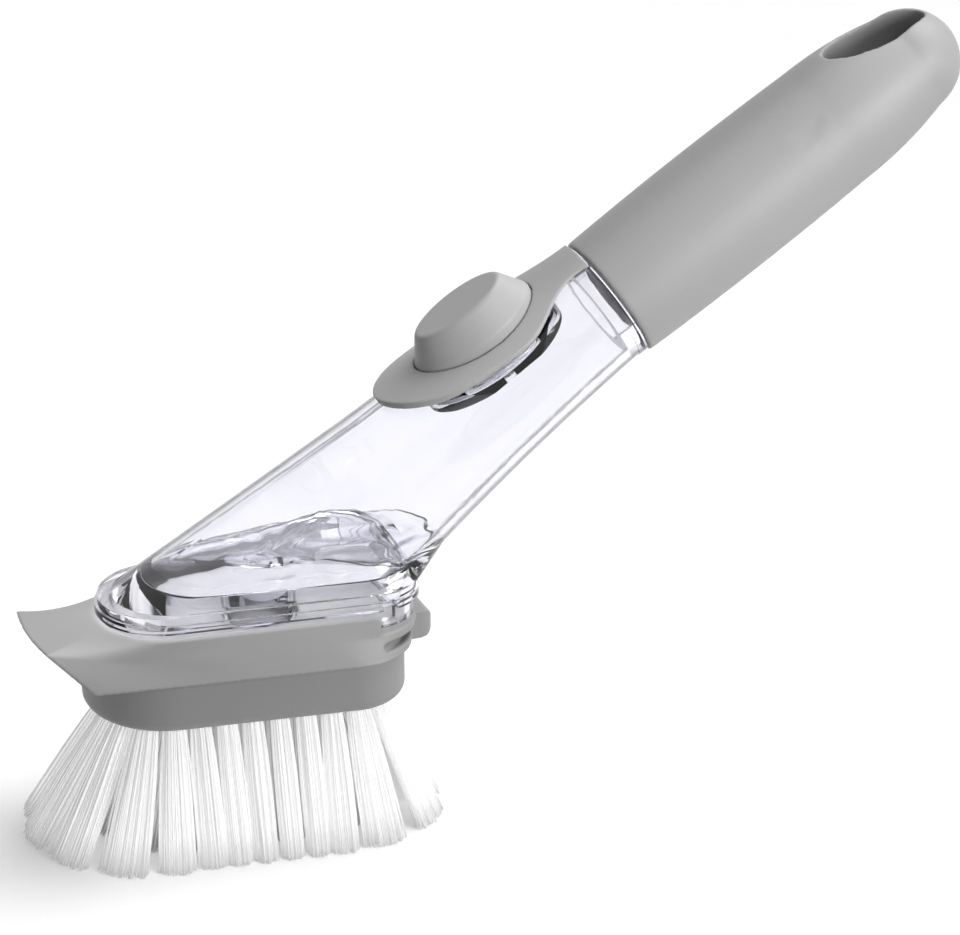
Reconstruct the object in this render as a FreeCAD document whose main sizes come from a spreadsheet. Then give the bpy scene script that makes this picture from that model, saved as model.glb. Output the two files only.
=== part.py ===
import FreeCAD, Part
import Sketcher
import math
import os
import re

# Soap dispensing dish wand, standing on its bristles.
# Millimetres; +Z up, +X from the scraper nose towards the handle, +Y across.
# Origin: on the floor, under the middle of the bristle field.
# The handle, neck, button and bezel are drawn in the wand's own frame: z runs along the wand
# from the collar ring up the handle, -x points out of the button side, y runs across.

Vector = FreeCAD.Vector

SIZES = {
    # Where the wand leaves the foot: middle of the collar ring, and slope of the axis
    "ring_x": 94.0,
    "ring_z": 118.0,
    "wand_tilt": 32.1,
    # General fits
    "slide_gap": 0.3,
    "seat_gap": 0.1,
    "pin_gap": 0.05,
    # Handle grip
    "grip_mouth": 1.5,
    "grip_wall": 2.4,
    "grip_waist": 70.0,
    "grip_waist_swell": 0.1,
    "grip_barrel_bend": 1060.0,
    "grip_neck": 96.5,
    "grip_neck_taper": 3.0,
    "grip_shoulder_bend": 105.0,
    "grip_end": 109.6,
    "grip_end_bend": 13.6,
    "grip_end_flat": 1.0,
    "grip_bore_end": 62.0,
    "hang_from_end": 21.2,
    "hang_tilt": 19.0,
    "hang_length": 28.0,
    "hang_width": 14.0,
    # Screw joint between the neck and the handle's liner
    "core_mouth": 4.0,
    "core_wall": 1.4,
    "core_floor": 2.0,
    "core_end": 60.0,
    "thread_pitch": 4.0,
    "thread_start": 5.6,
    "thread_rise": 7.0,
    "thread_root": 1.6,
    "thread_crest": 0.7,
    "thread_depth": 1.0,
    "thread_bite": 0.3,
    "neck_radius": 11.2,
    "neck_wall": 2.0,
    "neck_top": 15.5,
    "seal_thickness": 2.2,
    # Collar ring and reservoir
    "ring_step": 0.6,
    "ring_half": 1.2,
    "tank_wall": 2.2,
    "tank_mouth_step": 0.3,
    "tank_waist_along": 44.5,
    "tank_waist_radius": 17.7,
    "tank_waist_drop": 1.5,
    "tank_hip_clear": 2.59,
    "tank_hip_radius": 19.5,
    "tank_hip_drop": 2.8,
    "tank_foot_front_x": -19.5,
    "tank_foot_front_radius": 15.0,
    "tank_foot_rear_x": 27.0,
    "tank_foot_rear_y": 8.5,
    "tank_foot_rear_radius": 14.0,
    "tank_floor_z": 63.5,
    "floor_front_x": -13.4,
    "floor_front_radius": 13.0,
    "floor_rear_x": 24.5,
    "floor_rear_y": 8.5,
    "floor_rear_radius": 11.0,
    "floor_ledge": 0.8,
    # Foot flange and skirt of the reservoir
    "dish_front_x": -21.7,
    "dish_front_radius": 17.0,
    "dish_rear_x": 27.0,
    "dish_rear_y": 12.0,
    "dish_rear_radius": 12.0,
    "flange_bottom_z": 56.7,
    "flange_thickness": 4.0,
    "flange_step_height": 2.1,
    "flange_step": 0.7,
    "skirt_inset": 1.6,
    "skirt_wall": 2.0,
    "skirt_bottom_z": 51.6,
    "snap_x": 26.0,
    "snap_width": 3.7,
    "snap_bottom_z": 53.2,
    "snap_height": 4.8,
    "snap_depth": 4.4,
    # Floor plate with spout, slit valve and its ring
    "floor_thickness": 3.0,
    "spout_x": 2.0,
    "spout_radius": 9.0,
    "spout_wall": 1.8,
    "spout_bottom_z": 49.2,
    "valve_thickness": 1.2,
    "valve_bead": 2.4,
    "valve_dome": 3.0,
    "retainer_height": 2.6,
    # Button, bezel and pump
    "button_along": -30.2,
    "button_half_length": 17.0,
    "button_half_width": 10.7,
    "button_top_half_length": 12.6,
    "button_top_half_width": 7.0,
    "button_bottom": 13.6,
    "button_brow": 17.9,
    "button_top": 25.2,
    "button_wall": 2.2,
    "button_edge": 1.6,
    "button_travel": 3.0,
    "button_foot_half_length": 6.0,
    "button_foot_half_width": 4.0,
    "bezel_thickness": 2.4,
    "bezel_crown_bend": 42.0,
    "bezel_strap_bend": 20.0,
    "bezel_strap_cover": 0.7,
    "bezel_front": -59.6,
    "bezel_shoulder_along": -50.9,
    "bezel_shoulder_half": 12.4,
    "bezel_wide_along": -33.0,
    "bezel_wide_half": 15.4,
    "bezel_haunch_along": -19.0,
    "bezel_haunch_half": 13.9,
    "bezel_strap_along": -9.5,
    "bezel_strap_half": 8.8,
    "bezel_end": 1.0,
    "bezel_end_half": 7.4,
    "well_floor": 8.0,
    "well_floor_thickness": 1.6,
    "well_wall": 1.5,
    "port_radius": 3.2,
    "diaphragm_thickness": 0.9,
    "clamp_thickness": 0.9,
    "clamp_width": 3.2,
    # Brush head and scraper collar
    "head_front_x": -21.7,
    "head_front_radius": 21.0,
    "head_rear_x": 20.4,
    "head_rear_y": 14.2,
    "head_rear_radius": 13.6,
    "block_bottom_z": 31.8,
    "block_top_z": 45.1,
    "block_edge_round": 3.5,
    "boss_inset": 5.0,
    "boss_height": 1.8,
    "soap_hole_radius": 2.4,
    "collar_lip": 1.8,
    "collar_top_z": 55.6,
    "collar_top_lip": 0.9,
    "web_bottom_z": 49.6,
    "nose_heel_x": -45.4,
    "nose_heel_half": 19.0,
    "nose_edge_x": -55.6,
    "nose_edge_half": 13.0,
    "nose_edge_z": 55.6,
    "nose_bow": 1.2,
    "nose_blend_x": -33.5,
    "nose_blend_half": 21.0,
    "rim_front_x": -40.4,
    "rim_front_half": 15.7,
    "rim_front_z": 52.1,
    "rim_side_x": -32.4,
    "rim_side_half": 17.8,
    "rim_side_z": 51.0,
    "wall_start_x": -18.7,
    "shelf_corner_turn": 16.0,
    "shelf_corner_gap": 4.0,
    "window_start_x": 25.0,
    "window_sill_z": 51.4,
    "slot_bottom_z": 47.2,
    "slot_height": 1.9,
    "slot_depth": 2.6,
    # Thumb latch at the back of the collar
    "latch_half_width": 7.5,
    "latch_plate": 2.2,
    "latch_pivot_z": 49.0,
    "latch_pin_radius": 1.3,
    "latch_pin_reach": 2.4,
    "latch_bottom_z": 39.0,
    "latch_tab_reach": 9.0,
    "latch_tab_height": 7.4,
    "latch_tab_round": 3.0,
    "latch_catch_reach": 1.3,
    "latch_catch_height": 2.0,
    "latch_catch_half": 4.5,
    "latch_catch_z": 41.0,
    # Bristle tufts
    "tuft_edge": 6.6,
    "tuft_pitch": 6.5,
    "tuft_hole_radius": 2.05,
    "tuft_hole_depth": 9.0,
    "tuft_stem": 3.0,
    "tuft_trim": 4.0,
    "tuft_root_radius": 1.9,
    "tuft_tip_radius": 3.1,
    "tuft_splay": 14.0,
    "tuft_front_splay": 7.0,
    "tuft_rear_tuck": 0.5,
    "centre_tuft_x": -4.4,
    "centre_tuft_lean": 2.0,
    "anchor_length": 3.2,
    "anchor_width": 1.4,
    "anchor_thickness": 0.5,
}

doc = FreeCAD.newDocument("dish_wand")
sheet = doc.addObject("Spreadsheet::Sheet", "Sheet")
for row, (name, number) in enumerate(SIZES.items(), start=1):
    sheet.set(f"A{row}", name)
    sheet.set(f"B{row}", str(number))
    sheet.setAlias(f"B{row}", name)
doc.recompute()


def bind(formula):
    """Write a formula of size names as an expression on the sheet's cells."""
    def cell(word):
        return f"Sheet.{word[0]}" if word[0] in SIZES else word[0]
    return re.sub(r"[a-z][a-z0-9_]*", cell, formula)


def size(formula):
    """Read the value of a formula of size names from the sheet."""
    return float(sheet.evalExpression(formula))


# The wand's frame

tilt = math.radians(size("wand_tilt"))
RING = Vector(size("ring_x"), 0, size("ring_z"))
ALONG = Vector(math.cos(tilt), 0, math.sin(tilt))
OUT = Vector(-math.sin(tilt), 0, math.cos(tilt))
ACROSS = Vector(0, 1, 0)
WAND = FreeCAD.Placement(RING, FreeCAD.Rotation(ACROSS, 90 - size("wand_tilt")))


def wand_point(along, out, across=0.0):
    """A point given along the wand, out of its button side and across it."""
    return RING + ALONG * along + OUT * out + ACROSS * across


def on_wand(item):
    """Set a body into the wand's frame and tie it there to the sheet."""
    item.Placement = WAND
    item.setExpression("Placement.Base.x", bind("ring_x"))
    item.setExpression("Placement.Base.z", bind("ring_z"))
    item.setExpression("Placement.Rotation.Angle", bind("90 - wand_tilt"))


# Drawing helpers

def new_body(label):
    body = doc.addObject("PartDesign::Body", label)
    body.Label = label
    return body


def new_sketch(body, name, role):
    sketch = body.newObject("Sketcher::SketchObject", name)
    plane = [item for item in body.Origin.OriginFeatures if item.Role == role][0]
    sketch.AttachmentSupport = [(plane, "")]
    sketch.MapMode = "FlatFace"
    return sketch


def hold_point(sketch, geometry, end, formulas):
    """Tie one end of a sketch line to two formulas, measured from the sketch's origin."""
    for kind, axis, formula in (("DistanceX", -2, formulas[0]), ("DistanceY", -1, formulas[1])):
        if formula == "0":
            sketch.addConstraint(Sketcher.Constraint("PointOnObject", geometry, end, axis))
            continue
        index = sketch.addConstraint(Sketcher.Constraint(kind, -1, 1, geometry, end, size(formula)))
        name = f"{kind}_{geometry}"
        sketch.renameConstraint(index, name)
        sketch.setExpression(f"Constraints.{name}", bind(formula))


def draw_profile(sketch, corners, bends=None):
    """Draw a closed profile; bends maps a corner's number to the radius of the arc that leaves it."""
    bends = bends or {}
    points = [Vector(size(x), size(y), 0) for x, y in corners]
    starts = []
    for number, start in enumerate(points):
        end = points[(number + 1) % len(points)]
        if number in bends:
            radius = size(bends[number])
            chord = end - start
            sagitta = radius - math.sqrt(radius**2 - (chord.Length / 2) ** 2)
            bulge = Vector(chord.y, -chord.x, 0).normalize() * sagitta
            sketch.addGeometry(Part.Arc(start, (start + end) / 2 + bulge, end))
            drawn = sketch.Geometry[-1]
            starts.append(1 if drawn.StartPoint.isEqual(start, 1e-6) else 2)
        else:
            sketch.addGeometry(Part.LineSegment(start, end))
            starts.append(1)
    count = len(points)
    for number in range(count):
        following = (number + 1) % count
        sketch.addConstraint(
            Sketcher.Constraint("Coincident", number, 3 - starts[number], following, starts[following])
        )
    for number, formulas in enumerate(corners):
        hold_point(sketch, number, starts[number], formulas)
        if number in bends:
            index = sketch.addConstraint(Sketcher.Constraint("Radius", number, size(bends[number])))
            sketch.renameConstraint(index, f"bend_{number}")
            sketch.setExpression(f"Constraints.bend_{number}", bind(bends[number]))


def revolve(label, corners, bends=None):
    """A body turned about its own z axis from a profile of radius and height."""
    body = new_body(label)
    sketch = new_sketch(body, f"{label}_profile", "XZ_Plane")
    draw_profile(sketch, corners, bends)
    turned = body.newObject("PartDesign::Revolution", f"{label}_turned")
    turned.Profile = sketch
    turned.ReferenceAxis = (sketch, ["V_Axis"])
    turned.Angle = 360
    doc.recompute()
    return body


def add_thread(body, corners, rise):
    """A screw ridge round a body's z axis."""
    sketch = new_sketch(body, f"{body.Name}_ridge", "XZ_Plane")
    draw_profile(sketch, corners)
    ridge = body.newObject("PartDesign::AdditiveHelix", f"{body.Name}_thread")
    ridge.Profile = sketch
    ridge.ReferenceAxis = (sketch, ["V_Axis"])
    ridge.Mode = 0
    ridge.setExpression("Pitch", bind("thread_pitch"))
    ridge.setExpression("Height", bind(rise))
    doc.recompute()


def add_feature(label, shape, placement=None):
    """A sub-part whose shape is worked out with the modelling kernel's own functions."""
    item = doc.addObject("Part::Feature", label)
    item.Label = label
    item.Shape = shape
    if placement:
        item.Placement = placement
    return item


def closed_curve(points):
    curve = Part.BSplineCurve()
    curve.interpolate(Points=points, PeriodicFlag=True)
    return Part.Wire([curve.toShape()])


def open_curve(points):
    curve = Part.BSplineCurve()
    curve.interpolate(Points=points)
    return curve.toShape()


def ellipse(half_length, half_width, out):
    """An oval across the wand's x axis, in the wand's own frame, long along the wand."""
    centre = Vector(-out, 0, size("button_along"))
    curve = Part.Ellipse(centre + Vector(0, 0, half_length), centre + Vector(0, half_width, 0), centre)
    return Part.Wire([curve.toShape()])


def oval_block(half_length, half_width, bottom, top):
    """An upright oval block on the button's axis, in the wand's own frame."""
    face = Part.Face(ellipse(half_length, half_width, bottom))
    return face.extrude(Vector(bottom - top, 0, 0))


# The egg outline: one round nose and two round rear corners joined by tangent lines

def egg(family, offset=0.0, level=0.0):
    """The closed egg outline of a family of sizes, let out by an offset, from its nose round."""
    nose = Vector(size(f"{family}_front_x"), 0, level)
    nose_radius = size(f"{family}_front_radius") + offset
    rear_y = size(f"{family}_rear_y")
    corner = Vector(size(f"{family}_rear_x"), -rear_y, level)
    corner_radius = size(f"{family}_rear_radius") + offset
    lead = corner - nose
    turn = math.atan2(lead.y, lead.x) - math.acos((nose_radius - corner_radius) / lead.Length)
    normal = Vector(math.cos(turn), math.sin(turn), 0)
    half_turn = (math.pi + turn + 2 * math.pi) % (2 * math.pi) / 2
    bow = Vector(-math.cos(half_turn), -math.sin(half_turn), 0)
    tip = nose - Vector(nose_radius, 0, 0)
    side_front = nose + normal * nose_radius
    side_rear = corner + normal * corner_radius
    rear = corner + Vector(corner_radius, 0, 0)
    swing = turn / 2
    swell = corner + Vector(math.cos(swing), math.sin(swing), 0) * corner_radius

    def flip(point):
        return Vector(point.x, -point.y, point.z)
    near = [
        Part.Arc(tip, nose + bow * nose_radius, side_front).toShape(),
        Part.LineSegment(side_front, side_rear).toShape(),
        Part.Arc(side_rear, swell, rear).toShape(),
    ]
    back = Part.LineSegment(rear, flip(rear)).toShape()
    far = [
        Part.Arc(flip(rear), flip(swell), flip(side_rear)).toShape(),
        Part.LineSegment(flip(side_rear), flip(side_front)).toShape(),
        Part.Arc(flip(side_front), flip(nose + bow * nose_radius), tip).toShape(),
    ]
    return Part.Wire(near + [back] + far)


def egg_block(family, offset, bottom, top):
    return Part.Face(egg(family, offset, bottom)).extrude(Vector(0, 0, top - bottom))


def upright(x, y, radius, bottom, top):
    return Part.makeCylinder(radius, top - bottom, Vector(x, y, bottom))


# Radii that follow from the neck: the bore takes the seal, the grip's mouth goes round the bore

BORE_RADIUS = "(neck_radius + seal_thickness + slide_gap * 2)"
MOUTH_RADIUS = f"({BORE_RADIUS} + grip_wall)"
RING_RADIUS = f"({MOUTH_RADIUS} - ring_step)"
TANK_MOUTH_RADIUS = f"({RING_RADIUS} - tank_mouth_step)"
HANG_ALONG = "(grip_end - hang_from_end)"

# Handle grip: a turned barrel with a domed end, bored for the liner, with a slanted hang hole

grip = revolve(
    "handle_grip",
    [
        (BORE_RADIUS, "grip_mouth"),
        (MOUTH_RADIUS, "grip_mouth"),
        (f"{MOUTH_RADIUS} + grip_waist_swell", "grip_waist"),
        (f"{MOUTH_RADIUS} - grip_neck_taper", "grip_neck"),
        ("grip_end_flat", "grip_end"),
        ("0", "grip_end"),
        ("0", "grip_bore_end"),
        (BORE_RADIUS, "grip_bore_end"),
    ],
    {1: "grip_barrel_bend", 2: "grip_shoulder_bend", 3: "grip_end_bend"},
)
hang = new_sketch(grip, "hang_outline", "YZ_Plane")
hang_half = size("hang_length") / 2
hang.addGeometry(Part.Ellipse(Vector(0, hang_half, 0), Vector(-size("hang_width") / 2, 0, 0), Vector(0, 0, 0)))
hang.exposeInternalGeometry(0)
hang.addConstraint(Sketcher.Constraint("Coincident", 0, 3, -1, 1))
hang.addConstraint(Sketcher.Constraint("PointOnObject", 1, 1, -2))
for axis_line, name in ((1, "hang_length"), (2, "hang_width")):
    hang.renameConstraint(
        hang.addConstraint(Sketcher.Constraint("Distance", axis_line, size(name))), name
    )
    hang.setExpression(f"Constraints.{name}", bind(name))
hang.AttachmentOffset = FreeCAD.Placement(
    Vector(0, size(HANG_ALONG), 0), FreeCAD.Rotation(Vector(1, 0, 0), size("hang_tilt"))
)
hang.setExpression("AttachmentOffset.Base.y", bind(HANG_ALONG))
hang.setExpression("AttachmentOffset.Rotation.Angle", bind("hang_tilt"))
hang_hole = grip.newObject("PartDesign::Pocket", "hang_hole")
hang_hole.Profile = hang
hang_hole.Type = 1
hang_hole.Midplane = True
on_wand(grip)
doc.recompute()

# Handle liner: a closed cup with the inner screw ridge, half a pitch above the neck's ridge

CORE_RADIUS = f"{BORE_RADIUS} - pin_gap"
CORE_WALL_RADIUS = f"{CORE_RADIUS} - core_wall"
core = revolve(
    "handle_core",
    [
        (CORE_WALL_RADIUS, "core_mouth"),
        (CORE_RADIUS, "core_mouth"),
        (CORE_RADIUS, "core_end"),
        ("0", "core_end"),
        ("0", "core_end - core_floor"),
        (CORE_WALL_RADIUS, "core_end - core_floor"),
    ],
)
CORE_CREST_RADIUS = "neck_radius + slide_gap"
CORE_RIDGE = "thread_start + thread_pitch / 2"
add_thread(
    core,
    [
        (f"{CORE_WALL_RADIUS} + thread_bite", f"{CORE_RIDGE} - thread_root / 2"),
        (f"{CORE_WALL_RADIUS} + thread_bite", f"{CORE_RIDGE} + thread_root / 2"),
        (CORE_CREST_RADIUS, f"{CORE_RIDGE} + thread_crest / 2"),
        (CORE_CREST_RADIUS, f"{CORE_RIDGE} - thread_crest / 2"),
    ],
    "thread_rise",
)
on_wand(core)

# Neck with the outer screw ridge; it becomes part of the reservoir below

neck = revolve(
    "neck",
    [
        ("neck_radius - neck_wall", "0 - ring_half"),
        (RING_RADIUS, "0 - ring_half"),
        (RING_RADIUS, "ring_half"),
        ("neck_radius", "ring_half"),
        ("neck_radius", "neck_top"),
        ("neck_radius - neck_wall", "neck_top"),
    ],
)
add_thread(
    neck,
    [
        ("neck_radius - thread_bite", "thread_start - thread_root / 2"),
        ("neck_radius + thread_depth", "thread_start - thread_crest / 2"),
        ("neck_radius + thread_depth", "thread_start + thread_crest / 2"),
        ("neck_radius - thread_bite", "thread_start + thread_root / 2"),
    ],
    "thread_rise",
)
on_wand(neck)

# O-ring round the root of the neck, against the collar ring

seal = doc.addObject("Part::Torus", "neck_seal")
seal.Label = "neck_seal"
seal.setExpression("Radius1", bind("neck_radius + slide_gap + seal_thickness / 2"))
seal.setExpression("Radius2", bind("seal_thickness / 2"))
seal_seat = RING + ALONG * size("ring_half + slide_gap + seal_thickness / 2")
seal.Placement = FreeCAD.Placement(seal_seat, WAND.Rotation)
doc.recompute()

# Reservoir: a smooth skin from the collar ring to the egg-shaped foot

RING_POINTS = 36


def tank_section(along, radius, drop):
    """A round section square to the wand, dropped towards the underside, from its top round."""
    points = []
    for step in range(RING_POINTS):
        angle = 2 * math.pi * step / RING_POINTS
        points.append(wand_point(along, radius * math.cos(angle) - drop, -radius * math.sin(angle)))
    return closed_curve(points)


def foot_section(family, offset, level):
    outline = egg(family, offset, level)
    return closed_curve(outline.discretize(Number=RING_POINTS + 1)[:-1])


def straight_flare(upper, lower):
    """A solid between two closed curves, with straight lines from one to the other."""
    wall = Part.makeRuledSurface(upper.Edges[0], lower.Edges[0])
    shell = Part.makeShell([wall, Part.Face(upper), Part.Face(lower)])
    shell.sewShape()
    return Part.makeSolid(Part.Shell(shell.Faces))


# The hip lies as low as its underside can, a little above the foot's flange
flange_top = size("flange_bottom_z + flange_thickness")
hip_low = size("tank_hip_radius + tank_hip_drop") * math.cos(tilt)
hip_along = (flange_top + size("tank_hip_clear - ring_z") + hip_low) / math.sin(tilt)


def tank_skin(inset, mouth, foot):
    """The reservoir's form, drawn in by an inset: a smooth barrel, then straight lines to the foot."""
    hip = tank_section(hip_along, size("tank_hip_radius") - inset, size("tank_hip_drop"))
    barrel = [
        tank_section(mouth, size(TANK_MOUTH_RADIUS) - inset, 0),
        tank_section(-size("tank_waist_along"), size("tank_waist_radius") - inset, size("tank_waist_drop")),
        hip,
    ]
    return Part.makeLoft(barrel, True, False).fuse(straight_flare(hip, foot))


outer_skin = tank_skin(0, -size("ring_half"), foot_section("tank_foot", 0, flange_top))
inner_skin = tank_skin(
    size("tank_wall"), -size("ring_half + tank_wall"), foot_section("floor", 0, size("tank_floor_z"))
)


def pump_oval(extra, bottom, top):
    """An oval block on the button's axis in place on the wand, wider than the button by extra."""
    block = oval_block(size("button_half_length") + extra, size("button_half_width") + extra, bottom, top)
    block.Placement = WAND
    return block


WELL_INSIDE = size("slide_gap * 2 + clamp_width / 4")
well_top = size("button_top")
well_cup = pump_oval(WELL_INSIDE + size("well_wall"), size("well_floor - well_floor_thickness"), well_top)
well_hollow = pump_oval(WELL_INSIDE, size("well_floor"), well_top)
port_base = wand_point(size("button_along"), 0)
port = Part.makeCylinder(size("port_radius"), size("well_floor + slide_gap"), port_base, OUT)


def crown_block(mouth_lift, hip_lift):
    """A broad vaulted block on the wand's crown, above the collar ring and the hip by two lifts."""
    sections = []
    for along, bend, crown in (
        (size("grip_mouth"), size("bezel_strap_bend"), size(RING_RADIUS) + mouth_lift),
        (hip_along, size("bezel_crown_bend"), size("tank_hip_radius - tank_hip_drop") + hip_lift),
    ):
        sections.append(tank_section(along, bend, bend - crown))
    return straight_flare(*sections)


well_rim = well_cup.common(crown_block(0, 0))
foot = egg_block("dish", 0, size("flange_bottom_z"), size("flange_bottom_z + flange_step_height"))
foot = foot.fuse(egg_block("dish", -size("flange_step"), size("flange_bottom_z"), flange_top))
skirt = egg_block("dish", -size("skirt_inset"), size("skirt_bottom_z"), flange_top)
skirt_hollow = egg_block(
    "dish", -size("skirt_inset + skirt_wall"), size("skirt_bottom_z"), size("flange_bottom_z")
)
floor_seat = egg_block("floor", size("floor_ledge"), size("flange_bottom_z"), size("tank_floor_z"))
snap_inner = egg_block(
    "dish", -size("snap_depth"), size("snap_bottom_z"), size("snap_bottom_z + snap_height")
)
snap_windows = Part.makeBox(
    size("snap_width"), 4 * size("dish_rear_y"), size("snap_height"),
    Vector(size("snap_x"), -2 * size("dish_rear_y"), size("snap_bottom_z")),
).cut(snap_inner)
neck_bore = Part.makeCylinder(
    size("neck_radius - neck_wall"),
    size("neck_top + ring_half + tank_wall"),
    wand_point(-size("ring_half + tank_wall"), 0),
    ALONG,
)
tank = outer_skin.fuse(foot).fuse(skirt).fuse(neck.Shape).fuse(well_rim)
chamber = inner_skin.cut(well_cup)
for hollow in (chamber, well_hollow, port, neck_bore, floor_seat, skirt_hollow, snap_windows):
    tank = tank.cut(hollow)
add_feature("reservoir_body", tank)

# Floor plate: closes the foot from below and carries the soap spout

plate_top = size("tank_floor_z - seat_gap")
plate_bottom = size("tank_floor_z - floor_thickness")
plate = egg_block("floor", size("floor_ledge - seat_gap"), plate_bottom, plate_top)
spout_x = size("spout_x")
spout_bottom = size("spout_bottom_z")
spout_hole = size("spout_radius - spout_wall")
plate = plate.fuse(upright(spout_x, 0, size("spout_radius"), spout_bottom, plate_bottom))
plate = plate.cut(upright(spout_x, 0, spout_hole, spout_bottom, plate_bottom))
plate = plate.cut(upright(spout_x, 0, size("port_radius"), plate_bottom, plate_top))
add_feature("base_plate", plate.removeSplitter())

# Slit valve: a soft dome with a bead, under the plate inside the spout

valve = revolve(
    "outlet_valve",
    [
        ("spout_radius - spout_wall - seat_gap", "0"),
        ("spout_radius - spout_wall - seat_gap", "0 - valve_bead"),
        ("port_radius + valve_thickness", "0 - valve_bead"),
        ("port_radius", "0 - valve_bead - valve_dome"),
        ("0", "0 - valve_bead - valve_dome"),
        ("0", "0 - valve_bead - valve_dome + valve_thickness"),
        ("port_radius - valve_thickness", "0 - valve_bead - valve_dome + valve_thickness"),
        ("port_radius", "0"),
    ],
)
valve.Placement.Base = Vector(spout_x, 0, plate_bottom - size("seat_gap"))
valve.setExpression("Placement.Base.x", bind("spout_x"))
valve.setExpression("Placement.Base.z", bind("tank_floor_z - floor_thickness - seat_gap"))

# Snap ring that holds the valve's bead up against the plate

retainer = revolve(
    "valve_retainer",
    [
        ("port_radius + valve_thickness + slide_gap", "0"),
        ("spout_radius - spout_wall - seat_gap", "0"),
        ("spout_radius - spout_wall - seat_gap", "0 - retainer_height"),
        ("port_radius + valve_thickness + slide_gap", "0 - retainer_height"),
    ],
)
retainer.setExpression("Placement.Base.x", bind("spout_x"))
retainer.setExpression(
    "Placement.Base.z", bind("tank_floor_z - floor_thickness - valve_bead - seat_gap * 2")
)

# Pump: diaphragm rim on the well's floor, clamp ring, dome up to the button's foot

rim_extra = WELL_INSIDE - size("seat_gap")
rim_bottom = size("well_floor + seat_gap")
rim_top = rim_bottom + size("diaphragm_thickness")
dome_top = size("button_bottom - seat_gap")
dome_extra = rim_extra - size("clamp_width + slide_gap")
dome_inner = dome_extra - size("diaphragm_thickness")
diaphragm = pump_oval(rim_extra, rim_bottom, rim_top)
diaphragm = diaphragm.fuse(pump_oval(dome_extra, rim_top, dome_top))
diaphragm = diaphragm.cut(pump_oval(dome_inner, rim_bottom, dome_top - size("diaphragm_thickness")))
add_feature("pump_diaphragm", diaphragm.removeSplitter())

clamp_bottom = rim_top + size("seat_gap")
clamp_top = clamp_bottom + size("clamp_thickness")
clamp = pump_oval(rim_extra, clamp_bottom, clamp_top)
clamp = clamp.cut(pump_oval(rim_extra - size("clamp_width"), clamp_bottom, clamp_top))
add_feature("diaphragm_ring", clamp)

# Button: straight oval skirt, drafted cap with a rounded brow, hollow with a pushing foot

half_length = size("button_half_length")
half_width = size("button_half_width")
skirt_wall = oval_block(half_length, half_width, size("button_bottom"), size("button_brow"))
cap = Part.makeLoft(
    [
        ellipse(half_length, half_width, size("button_brow")),
        ellipse(size("button_top_half_length"), size("button_top_half_width"), size("button_top")),
    ],
    True,
    True,
)
button = skirt_wall.fuse(cap).removeSplitter()
brow_edges = [edge for edge in button.Edges if edge.BoundBox.XMax < size("seat_gap - button_top")]
button = button.makeFillet(size("button_edge"), brow_edges)
hollow_top = size("button_top - button_wall * 2")
hollow = oval_block(
    size("button_top_half_length - button_wall"),
    size("button_top_half_width - button_wall / 2"),
    size("button_bottom"),
    hollow_top,
)
foot_post = oval_block(
    size("button_foot_half_length"), size("button_foot_half_width"), size("button_bottom"), hollow_top
)
button = button.cut(hollow.cut(foot_post))
add_feature("dispense_button", button, WAND)

# Bezel: a vaulted plate on the well's rim with a strap up to the collar ring

def bezel_side(sign):
    """The plan of one side of the bezel, from its front tip to the strap's end."""
    return [
        Vector(0, 0, size("bezel_front")),
        Vector(0, sign * size("bezel_shoulder_half"), size("bezel_shoulder_along")),
        Vector(0, sign * size("bezel_wide_half"), size("bezel_wide_along")),
        Vector(0, sign * size("bezel_haunch_half"), size("bezel_haunch_along")),
        Vector(0, sign * size("bezel_strap_half"), size("bezel_strap_along")),
        Vector(0, sign * size("bezel_end_half"), size("bezel_end")),
    ]


near_side = bezel_side(-1)
far_side = bezel_side(1)
plan_curve = open_curve(near_side[::-1] + far_side[1:])
plan_end = Part.LineSegment(far_side[-1], near_side[-1]).toShape()
plan = Part.Face(Part.Wire([plan_curve, plan_end]))
plan_block = plan.extrude(Vector(-size("button_top"), 0, 0))
plan_block.Placement = WAND
bezel_foot = foot_section("tank_foot", 0, flange_top)
bezel_under = tank_skin(-size("seat_gap"), -size("ring_half"), bezel_foot)
bezel = plan_block.common(crown_block(size("bezel_strap_cover"), size("bezel_thickness")))
bezel = bezel.cut(crown_block(size("seat_gap"), size("seat_gap"))).cut(bezel_under)
bezel = bezel.cut(pump_oval(size("slide_gap"), 0, size("button_top")))
add_feature("button_bezel", bezel)

# Scraper collar: egg-shaped wall drawn out to a raked nose, with a shoulder up to the clear foot

collar_bottom = size("block_top_z + seat_gap")
collar_top = size("collar_top_z")
heel = Vector(size("nose_heel_x"), -size("nose_heel_half"), collar_bottom)
edge_tip = Vector(size("nose_edge_x"), -size("nose_edge_half"), size("nose_edge_z"))
nose_bow = size("nose_bow")
WALL_STEPS = 14
OUTLINE_STEPS = 400


def mirror(point):
    return Vector(point.x, -point.y, point.z)


def wall_points(family, offset, level, start_x):
    """Points of an egg outline on the near side from start_x round to the middle of the back."""
    outline = egg(family, offset, level)
    points = outline.discretize(Number=OUTLINE_STEPS)
    near = [point for point in points if point.y < 0 and point.x > start_x]
    stride = len(near) / WALL_STEPS
    return [near[int(stride * step)] for step in range(WALL_STEPS)]


def ring_wire(nose_corner, side, bow):
    """A closed wire: bowed nose edge between two corners, then the wall round the back."""
    middle = Vector(nose_corner.x - bow, 0, nose_corner.z)
    nose_edge = Part.Arc(mirror(nose_corner), middle, nose_corner).toShape()
    back = [mirror(point) for point in side[::-1]]
    wall = open_curve([nose_corner] + side + back + [mirror(nose_corner)])
    return Part.Wire([nose_edge, wall])


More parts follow.
